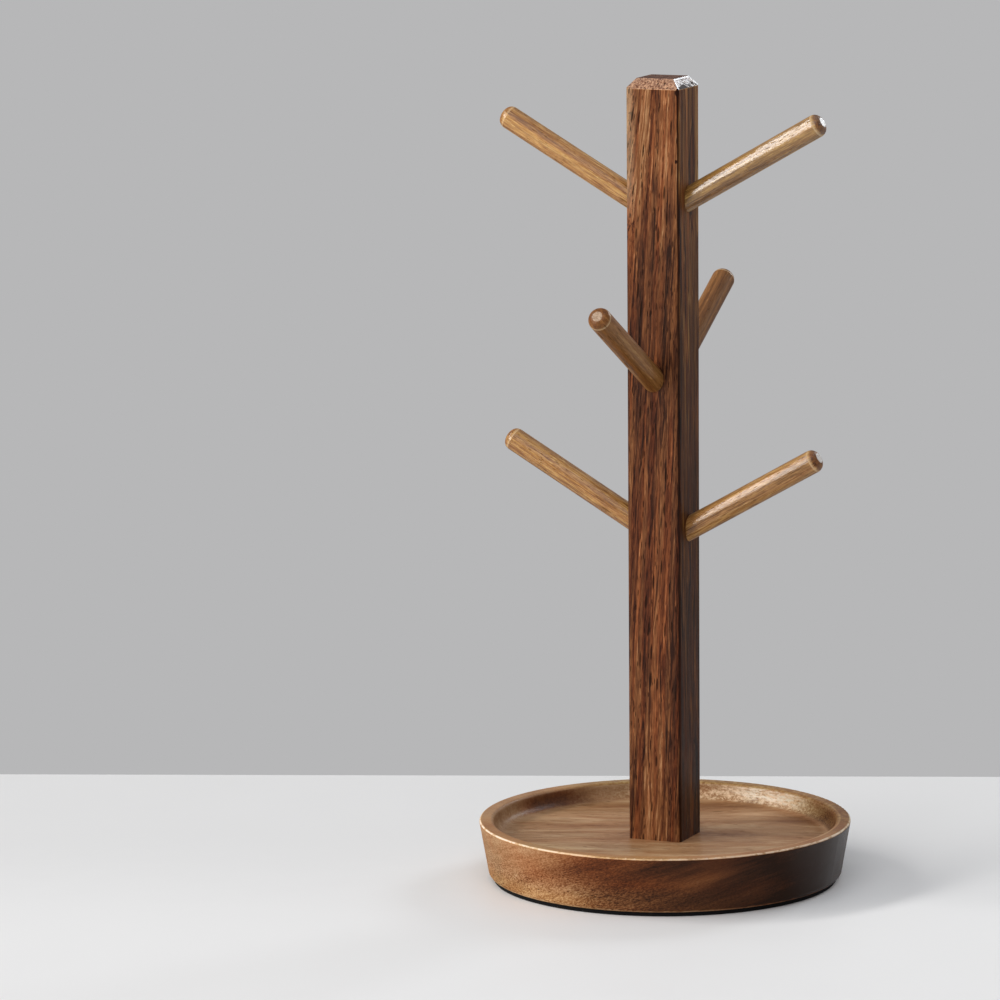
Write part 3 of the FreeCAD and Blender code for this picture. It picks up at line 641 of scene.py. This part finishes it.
def wall_marks(graph, tray, place, slant, speckle, cloud, shade):
    """The outer wall darkens to the right, partly darker wood and partly painted shade, under slanted
    streaks, a fine speckle and broad blotches.
    """
    # Partly painted shade: darker towards the camera's right, away from the key lamp.
    right = graph.dot(place, RIGHT)
    dark = graph.plus(graph.soft(right, -58.0, -12.0, 0.03, 0.33),
                      graph.soft(right, -12.0, 70.0, 0.0, 0.18))
    fade = graph.soft(right, -50.0, 40.0, 1.0, 0.2)
    dark = graph.add_to(dark, graph.soft(tray.z, 22.0, 27.5, 0.0, -0.08), fade)
    grain = graph.times(speckle, graph.times(fade, graph.soft(tray.z, 10.0, 22.0, 0.38, 0.22)))
    ticks = pore_mask(graph, slant, size=(3.2, 2.4, 1.0), shift=(3.0, 5.0, 7.0), count=0.75)
    ticks = graph.times(ticks, graph.soft(tray.z, 8.0, 24.0, -0.30, -0.05))
    grain = graph.add_to(grain, ticks, fade)
    grain = graph.add_to(grain, cloud, 0.16)
    streaks = graph.noise(slant, (30, 20, 1.6), seed=66.0, detail=3.0, rough=0.6)
    grain = graph.add_to(grain, graph.centred(streaks), 0.30)
    for centre, size, lift in TRAY_BLOTCHES:
        middle = Matrix.Rotation(radians(WALL_SLANT), 3, "Y") @ Vector(centre)
        away = graph.vector("DIVIDE", graph.vector("SUBTRACT", slant, middle), size)
        blotch = graph.soft(graph.vector("LENGTH", away), 0.0, 1.0, 1.0, 0.0)
        grain = graph.add_to(grain, blotch, lift)
    shade = graph.mix_value(graph.times(tray.wall, 0.85), shade, TRAY_LEVEL)
    return graph.add_to(shade, tray.wall, graph.minus(grain, dark))


def cove_marks(graph, tray, place, behind, crumb, shade):
    """The cove shows pale crumbs at the back, partly torn grain and partly painted highlight, and painted
    shade at its left and right ends, at the right with darker grain.
    """
    calm = graph.soft(graph.distance(place, (74.0, 34.0, 25.0)), 26.0, 52.0)
    back = graph.times(graph.soft(behind, 40.0, 72.0, 0.2, 1.0), calm)
    shade = graph.add_to(shade, graph.times(tray.cove, back), crumb)
    specks = graph.noise(place, (0.9, 0.9, 0.8), seed=69.0, detail=2.0, rough=0.7)
    specks = graph.times(graph.soft(specks, 0.38, 0.62, -0.12, 0.09),
                         graph.soft(behind, 40.0, 62.0, 0.2, 1.0))
    shade = graph.add_to(shade, tray.cove, specks)
    for centre, span, lift in COVE_PATCHES:
        patch = graph.soft(graph.distance(place, centre), span * 0.2, span, lift, 0.0)
        patch = graph.times(patch, tray.cove)
        if lift > 0:
            patch = graph.times(patch, graph.soft(tray.z, 21.0, 25.5, 0.4, 1.0))
        shade = graph.plus(shade, patch)
    return shade


def floor_marks(graph, tray, place, behind, bent, shade):
    """The floor is lighter towards the front, with a slow cloudy figure."""
    floor = graph.times(graph.soft(tray.reach, 76.0, 81.0, 1.0, 0.0), graph.soft(tray.z, 18.0, 20.0))
    haze = graph.noise(bent, (9, 9, 40), seed=73.0, detail=3.0, rough=0.6, warp=0.7)
    haze = graph.add_to(graph.soft(behind, -74.0, -20.0, 0.16, 0.0), graph.centred(haze), 0.62)
    shade = graph.add_to(shade, haze, floor)
    for centre, lift in FLOOR_PATCHES:
        patch = graph.soft(graph.distance(place, centre), 6.0, 32.0, lift, 0.0)
        shade = graph.add_to(shade, patch, floor)
    return shade


def rim_marks(graph, tray, behind, speckle, cloud, crumb):
    """The rim is plain: a little cloudy and speckled, crumbed at the back, with a painted highlight line
    at the right.
    """
    x = tray.x
    plain = graph.add_to(graph.soft(x, 30.0, 85.0, 0.58, 0.48), cloud, 0.4)
    plain = graph.add_to(plain, speckle, 0.12)
    plain = graph.add_to(plain, crumb, graph.soft(behind, 20.0, 60.0, 0.0, 0.6))
    dark = graph.times(graph.soft(behind, 10.0, 50.0, 0.0, -0.06), graph.soft(x, 26.0, 60.0))
    plain = graph.plus(plain, dark)
    # Painted highlight along the rim at the right.
    line = graph.magnitude(graph.minus(tray.reach, RIM_LINE))
    line = graph.times(graph.soft(line, 0.2, 0.7, 0.16, 0.0), graph.soft(x, 50.0, 75.0))
    plain = graph.plus(plain, line)
    outside = graph.soft(tray.reach, RIM_LINE, RIM_LINE + 1.0)
    return graph.plus(plain, graph.times(outside, graph.soft(x, 50.0, 75.0, 0.0, -0.06)))


TRAY_LEVEL = 0.55      # the outer wall's shade before its marks
# Dark and light blotches of the tray's wall, slanted so many degrees: centre, size in mm, and how
# much lighter.
WALL_SLANT = 18
TRAY_BLOTCHES = (
    ((-18.0, -86.0, 19.0), (50.0, 50.0, 7.0), -0.14),
    ((-34.0, -81.0, 6.0), (30.0, 30.0, 9.0), 0.08),
    ((-18.0, -85.0, 4.0), (26.0, 50.0, 8.0), 0.12),
    ((14.0, -86.0, 4.0), (28.0, 50.0, 6.0), 0.08),
    ((32.0, -82.0, 12.0), (22.0, 50.0, 5.0), -0.06),
    ((34.0, -79.0, 27.0), (44.0, 50.0, 8.0), -0.13),
    ((50.0, -72.0, 18.5), (28.0, 40.0, 5.0), 0.12),
    ((46.0, -74.0, 9.0), (50.0, 50.0, 6.0), -0.06),
    ((75.0, -49.0, 13.0), (30.0, 40.0, 9.0), 0.06),
    ((91.0, -16.0, 14.0), (46.0, 50.0, 60.0), -0.13),
)
# Painted highlight and painted shade on the cove, as light and dark patches: centre, reach in mm, and how
# much lighter.
COVE_PATCHES = (
    ((20.0, 77.0, 28.0), 42.0, 0.42), ((46.0, 66.0, 26.0), 26.0, 0.10),
    ((70.0, 40.0, 24.0), 34.0, -0.26), ((-70.0, 30.0, 25.0), 34.0, -0.30),
)
# A dark and a light patch of the floor: centre in mm, and how much lighter.
FLOOR_PATCHES = (((54.0, 54.0, 21.0), -0.16), ((60.0, -34.0, 21.0), 0.13))


# ---------------------------------------------------------------- looks

# Sizes are in mm, along two axes across the grain and one along it. "tones" is the ramp from dark to
# light that the shade runs through; a noise's own number is how strongly it shows in the shade.
WOOD = {
    "slow_size": (22, 22, 170), "slow_waver": (7.0, 7.0, 0.0),
    "quick_size": (5, 5, 34), "quick_waver": (1.2, 1.2, 0.0),
    "pith": (-38.0, 46.0, 0.0), "ring": 3.6, "ring_depth": 0.12,
    "broad_size": (6, 6, 260), "broad": 0.80,
    "narrow_size": (1.5, 1.5, 100), "narrow": 0.90,
    "fleck_size": (0.62, 0.62, 9.0), "fleck": 0.28,
    "fibre_size": (0.36, 0.36, 5.0), "fibre": 0.90, "fibre_height": 0.5,
    "hair_size": (1.0, 1.0, 8.0), "hair_count": 0.5, "hair": 0.14,
    "vein_size": (2.6, 2.6, 62), "vein_hold": (3.0, 3.0, 26), "vein": 0.38,
    "level": 0.55,
    "patch_size": (3.2, 3.2, 130), "patch": 0.9,
    "end_from": 0.45, "end_to": 0.85, "end_share": 0.75, "end_rough": 0.15, "end_coat": 0.02,
    "speck_size": (0.8, 0.8, 2.5),
    "fine_pore": (0.85, 0.85, 6.5), "fine_count": 0.75,
    "coarse_pore": (1.7, 1.7, 14.0), "coarse_count": 0.5,
    "pore_share": 0.85, "pore_depth": 0.25, "bump": 0.9,
    "rough": 0.52, "gloss": 0.12, "coat": 0.05, "coat_rough": 0.22,
}

POST_LOOK = WOOD | {
    "tones": [(0.02, colour(42, 20, 10)), (0.28, colour(82, 45, 25)), (0.50, colour(112, 68, 39)),
              (0.68, colour(138, 89, 54)), (0.95, colour(178, 134, 94))],
    "red_tint": colour(255, 228, 214), "tan_tint": colour(250, 254, 255),
    "end_dark": colour(106, 62, 42), "end_light": colour(226, 182, 152),
    "end_from": 0.3, "end_to": 0.55, "pore_tint": colour(30, 15, 8), "fine_count": 0.70,
    "broad_size": (4.5, 4.5, 240), "broad": 1.0, "narrow": 0.60, "vein": 0.30,
    "fibre": 0.70, "fleck": 0.24, "hair": 0.18, "coat": 0.03, "gloss": 0.08,
    "lean": post_lean, "marks": post_marks, "faces": post_faces, "film": post_film, "stain": post_stain,
}

TRAY_LOOK = WOOD | {
    "tones": [(0.0, colour(42, 26, 17)), (0.14, colour(74, 43, 25)), (0.30, colour(110, 67, 38)),
              (0.50, colour(148, 108, 73)), (0.70, colour(178, 144, 109)), (0.95, colour(214, 184, 152))],
    "slow_size": (50, 50, 150), "slow_waver": (34.0, 34.0, 0.0),
    "quick_size": (12, 12, 60), "quick_waver": (4.0, 4.0, 0.0),
    "broad_size": (22, 22, 190), "broad": 0.70,
    "narrow_size": (4.0, 4.0, 90), "narrow": 0.09,
    "fleck": 0.06, "fibre": 0.36, "hair": 0.02,
    "vein_size": (7, 7, 60), "vein_hold": (12, 12, 40), "vein": 0.05,
    "pith": (-150.0, 60.0, 0.0), "ring": 11.0, "ring_depth": 0.03,
    "patch_size": (18, 18, 120), "patch": 0.6,
    "red_tint": colour(250, 236, 228), "tan_tint": colour(244, 251, 255),
    "end_dark": colour(104, 58, 32), "end_light": colour(186, 132, 84), "end_share": 0.0,
    "speck_size": (0.55, 0.55, 1.5),
    "pore_tint": colour(44, 24, 14), "fine_count": 0.28, "coarse_count": 0.1, "pore_share": 0.6,
    "marks": tray_marks, "faces": tray_faces, "film": tray_film, "stain": tray_stain,
    "coat": 0.20, "gloss": 0.06,
}

PEG_LOOK = WOOD | {
    "tones": [(0.02, colour(84, 45, 14)), (0.28, colour(135, 89, 41)), (0.50, colour(171, 126, 71)),
              (0.70, colour(196, 155, 94)), (0.95, colour(225, 190, 130))],
    "red_tint": colour(255, 240, 226), "tan_tint": colour(250, 253, 244), "patch": 0.6,
    "slow_waver": (3.0, 3.0, 0.0), "quick_waver": (0.6, 0.6, 0.0),
    "end_from": 0.92, "end_to": 0.97, "end_share": 0.9, "end_rough": 0.1, "end_coat": 0.2,
    "end_dark": colour(172, 150, 128), "end_light": colour(204, 184, 162),
    # dome: the colour of the painted shade over a peg's dome; arris: of the painted highlight where the
    # dome starts.
    "dome": colour(236, 226, 214), "arris": colour(226, 196, 152),
    "pore_tint": colour(62, 38, 18), "pore_share": 0.55, "ring": 2.6, "ring_depth": 0.12,
    "fine_pore": (0.6, 0.6, 4.0), "fine_count": 0.4, "coarse_count": 0.05,
    "narrow": 0.45, "fleck_size": (0.5, 0.5, 7.0), "fleck": 0.25,
    "fibre_size": (0.32, 0.32, 8.0), "fibre": 0.78,
    "hair_size": (0.8, 0.8, 6.0), "hair": 0.18,
    "vein_size": (1.9, 1.9, 60), "vein": 0.10, "rough": 0.45, "gloss": 0.10, "bump": 0.55,
    "coat": 0.6, "coat_rough": 0.17, "graze": 0.1,
}
# The pegs on the post's right and back faces, away from the key lamp, are darker: partly their own colour,
# partly painted shade.
DARK_PEG_LOOK = PEG_LOOK | {
    "tones": [(0.02, colour(66, 38, 10)), (0.28, colour(108, 74, 34)), (0.50, colour(146, 108, 58)),
              (0.70, colour(174, 135, 78)), (0.95, colour(208, 172, 112))],
    # Their end flats are near white as a painted reflection, and their domes darker as painted shade.
    "end_dark": colour(186, 180, 174), "end_light": colour(214, 210, 206), "dome": colour(196, 168, 132),
    "end_coat": 0.3, "coat": 1.0,
}

# What sets single pegs apart from the rest.
# The middle pegs are browner: partly their own colour, partly painted shade.
BROWN_PEG = {
    "tones": [(0.02, colour(58, 31, 12)), (0.28, colour(94, 58, 25)), (0.50, colour(122, 80, 39)),
              (0.70, colour(144, 100, 55)), (0.95, colour(174, 133, 84))],
    "coat": 0.22, "fleck": 0.16, "fibre": 0.5, "fine_count": 0.2,
    "end_dark": colour(150, 124, 102), "end_light": colour(184, 160, 138), "dome": colour(238, 226, 214),
}
PEG_CHANGES = {
    "peg_top_left": {"level": 0.60},
    "peg_lower_left": {"level": 0.42},
    "peg_lower_right": {
        "tones": [(0.02, colour(72, 42, 14)), (0.28, colour(116, 77, 36)), (0.50, colour(156, 113, 66)),
                  (0.70, colour(182, 141, 88)), (0.95, colour(211, 173, 120))], "coat": 0.55},
    "peg_middle_front": BROWN_PEG,
    "peg_middle_back": BROWN_PEG,
}

DOWEL_LOOK = PEG_LOOK | {"fine_count": 0.2, "coarse_count": 0.0, "coat": 0.0, "rough": 0.6}


# ---------------------------------------------------------------- other materials

def foam(name):
    """Matt black closed-cell foam: a fine skin of small cells."""
    graph = Graph(name)
    place = grain_frame(graph)
    distance, _ = graph.cells(place, (0.55, 0.55, 0.55), (0, 0, 0))
    dust = graph.noise(place, (6, 6, 6), seed=2.0, detail=4.0, rough=0.7)
    tint = graph.mix(graph.soft(dust, 0.45, 0.75), colour(12, 12, 13), colour(26, 25, 25))
    tint = graph.mix(graph.soft(distance, 0.2, 0.7, 0.5, 0.0), tint, colour(5, 5, 6))
    rough = graph.remap(dust, 0.3, 0.7, 0.78, 0.92)
    return graph.finish({"Base Color": tint, "Roughness": rough, "Specular IOR Level": 0.15,
                         "Normal": graph.bump(distance, 0.12, 0.6)})


def metal(name, bright, dull, rough, lay):
    """Plated or turned metal with turning lines of a size in mm about Z, and a little tarnish."""
    graph = Graph(name)
    place = grain_frame(graph)
    x, y, z = graph.split(place)
    lines = graph.noise(graph.join(graph.reach(x, y), 0.0, z), lay, seed=1.0, detail=3.0, rough=0.7)
    stain = graph.noise(place, (3, 3, 3), seed=7.0, detail=4.0, rough=0.6)
    tint = graph.mix(graph.soft(stain, 0.4, 0.7), bright, dull)
    shine = graph.remap(lines, 0.3, 0.7, rough - 0.06, rough + 0.10)
    return graph.finish({"Base Color": tint, "Metallic": 1.0, "Roughness": shine,
                         "Normal": graph.bump(lines, 0.02, 0.5)})


# ---------------------------------------------------------------- dressing the pieces

def dress(node, material):
    """Put one material on a CAD node."""
    for item in NODES[node].material_slots:
        item.material = material


# The face of the post that each peg leaves, in degrees about Z from +X, and the peg's height in mm.
PEG_PLACES = {
    "peg_top_left": (180, 329.2), "peg_top_right": (0, 331.1),
    "peg_middle_front": (270, 245.7), "peg_middle_back": (90, 245.7),
    "peg_lower_left": (180, 173.7), "peg_lower_right": (0, 172.3),
}
# The pegs on these faces take the darker look, partly painted shade.
DARK_FACES = (0, 90)

dress("post", wood("post_oiled", POST_LOOK, origin=(0, 0, 340), turn=(0, 2.5, 0), seed=1.3))
dress("tray", wood("tray_oiled", TRAY_LOOK, origin=(0, 0, 12), turn=(0, 90, 20), seed=4.2))
for number, (peg, (face, height)) in enumerate(PEG_PLACES.items()):
    origin = (POST_HALF * cos(radians(face)), POST_HALF * sin(radians(face)), height)
    look = DARK_PEG_LOOK if face in DARK_FACES else PEG_LOOK
    look = look | PEG_CHANGES.get(peg, {})
    turn = (0, 90 - PEG_RISE, face)
    dress(peg, wood(f"{peg}_oiled", look, origin, turn, seed=7.0 + 2.7 * number))
for number, dowel in enumerate(("dowel_left", "dowel_right")):
    dress(dowel, wood(f"{dowel}_plain", DOWEL_LOOK, seed=31.0 + number))
dress("base_pad", foam("pad_foam_skin"))
zinc = metal("zinc_plate", colour(205, 208, 212), colour(176, 176, 172), rough=0.30, lay=(0.12, 1, 0.12))
dress("bolt", zinc)
dress("washer", zinc)
dress("threaded_insert", metal("insert_brass_turned", colour(214, 178, 96), colour(176, 136, 70),
                               rough=0.32, lay=(0.15, 1, 0.15)))


# ---------------------------------------------------------------- camera

def add_camera(distance, elevation, azimuth, roll, scale, centre):
    """A camera that shows the point it aims at at a pixel, with so many pixels to the mm there."""
    focal = scale * distance
    rise, turn, tilt = radians(elevation), radians(azimuth), radians(roll)
    back = Vector((sin(turn) * cos(rise), -cos(turn) * cos(rise), sin(rise)))
    right = (-back).cross(Vector((0, 0, 1))).normalized()
    up = right.cross(-back)
    across, down = (centre[0] - PIXELS / 2) / focal, (centre[1] - PIXELS / 2) / focal
    ahead = (-back - across * right + down * up).normalized()
    right = ahead.cross(Vector((0, 0, 1))).normalized()
    up = right.cross(ahead)
    right, up = cos(tilt) * right + sin(tilt) * up, cos(tilt) * up - sin(tilt) * right
    data = bpy.data.cameras.new("camera")
    data.sensor_width = SENSOR
    data.lens = focal * SENSOR / PIXELS
    data.clip_end = FAR_CLIP
    camera = bpy.data.objects.new("camera", data)
    bpy.context.scene.collection.objects.link(camera)
    turned = Matrix((right, up, -ahead)).transposed().to_4x4()
    place = Vector((0, 0, AIM_HEIGHT)) + distance * back
    camera.matrix_world = Matrix.Translation(place * MM) @ turned
    bpy.context.scene.camera = camera


# Distance in mm, angles in degrees.
add_camera(distance=2872.49, elevation=9.433, azimuth=22.154, roll=-0.462, scale=2.0838,
           centre=(663.75, 490.5))


# ---------------------------------------------------------------- table and light

def lacquer():
    """Pale matt lacquer, darkened a little towards the back as painted shade."""
    graph = Graph("table_lacquer")
    place = grain_frame(graph)
    cloud = graph.noise(place, (40, 40, 40), seed=3.0, detail=3.0)
    # Painted shade: darker towards the back.
    back = graph.add_to(graph.dot(place, AWAY), cloud, 60.0)
    tint = graph.mix(graph.soft(back, -90.0, 130.0), colour(231, 231, 232), colour(221, 221, 222))
    rough = graph.remap(cloud, 0.3, 0.7, 0.50, 0.56)
    return graph.finish({"Base Color": tint, "Roughness": rough})


def add_table(edge, turn, width, depth):
    """A table top, in m, whose back edge runs past a point given in mm and is turned by some degrees."""
    across = Vector((cos(radians(turn)), sin(radians(turn)), 0))
    inward = Vector((across.y, -across.x, 0))
    middle = Vector((edge[0], edge[1], 0)) * MM
    corners = [middle + side * width / 2 * across + far * depth * inward
               for side, far in ((-1, 0), (-1, 1), (1, 1), (1, 0))]
    mesh = bpy.data.meshes.new("table_top")
    mesh.from_pydata([tuple(corner) for corner in corners], [], [(0, 1, 2, 3)])
    mesh.materials.append(lacquer())
    table = bpy.data.objects.new("table_top", mesh)
    bpy.context.scene.collection.objects.link(table)


add_table(edge=(-167.6, 183.0), turn=20.85, width=6.0, depth=4.0)


def add_lamp(name, direction, distance, size, power, tint, spin=0.0):
    """A soft box, in m and W, that looks at the stand and is spun by some degrees about its own axis."""
    data = bpy.data.lights.new(name, "AREA")
    data.shape = "RECTANGLE"
    data.size, data.size_y = size
    data.energy = power
    data.color = tint
    lamp = bpy.data.objects.new(name, data)
    bpy.context.scene.collection.objects.link(lamp)
    away = Vector(direction).normalized()
    lamp.location = Vector((0, 0, LAMP_TARGET)) + away * distance
    turned = away.to_track_quat("Z", "Y") @ Quaternion((0, 0, 1), radians(spin))
    lamp.rotation_euler = turned.to_euler()


add_lamp("key_strip", direction=(-0.72, -0.53, 0.43), distance=6.0, size=(8.0, 1.05),
         power=405.0, tint=(1.0, 0.985, 0.95), spin=-34.6)
add_lamp("fill_box", direction=(0.10, -0.70, 0.75), distance=4.0, size=(3.5, 3.5),
         power=60.0, tint=(1.0, 1.0, 1.02))
add_lamp("top_box", direction=(0.10, 0.20, 1.0), distance=2.5, size=(2.4, 2.4),
         power=7.0, tint=(1.0, 1.0, 1.0))
add_lamp("back_box", direction=(0.29, 0.88, 0.375), distance=1.87, size=(0.6, 0.5),
         power=10.0, tint=(0.90, 0.95, 1.0))


def add_world(light, strength, backdrop):
    """Even room light, and a plain grey backdrop for the camera and for reflections."""
    world = bpy.data.worlds.new("room")
    bpy.context.scene.world = world
    world.use_nodes = True
    tree = world.node_tree
    tree.nodes.clear()
    rays = tree.nodes.new("ShaderNodeLightPath")
    seen = rays.outputs["Is Camera Ray"]
    for ray in ("Is Glossy Ray", "Is Transmission Ray"):
        most = tree.nodes.new("ShaderNodeMath")
        most.operation = "MAXIMUM"
        tree.links.new(seen, most.inputs[0])
        tree.links.new(rays.outputs[ray], most.inputs[1])
        seen = most.outputs[0]
    blend = tree.nodes.new("ShaderNodeMixShader")
    tree.links.new(seen, blend.inputs[0])
    for number, (tint, power) in enumerate(((light, strength), (backdrop, 1.0)), start=1):
        background = tree.nodes.new("ShaderNodeBackground")
        background.inputs["Color"].default_value = tint
        background.inputs["Strength"].default_value = power
        tree.links.new(background.outputs[0], blend.inputs[number])
    output = tree.nodes.new("ShaderNodeOutputWorld")
    tree.links.new(blend.outputs[0], output.inputs[0])


add_world(light=(1.0, 1.0, 1.0, 1.0), strength=0.24, backdrop=colour(183, 183, 184))

bpy.context.scene.view_settings.view_transform = "Standard"
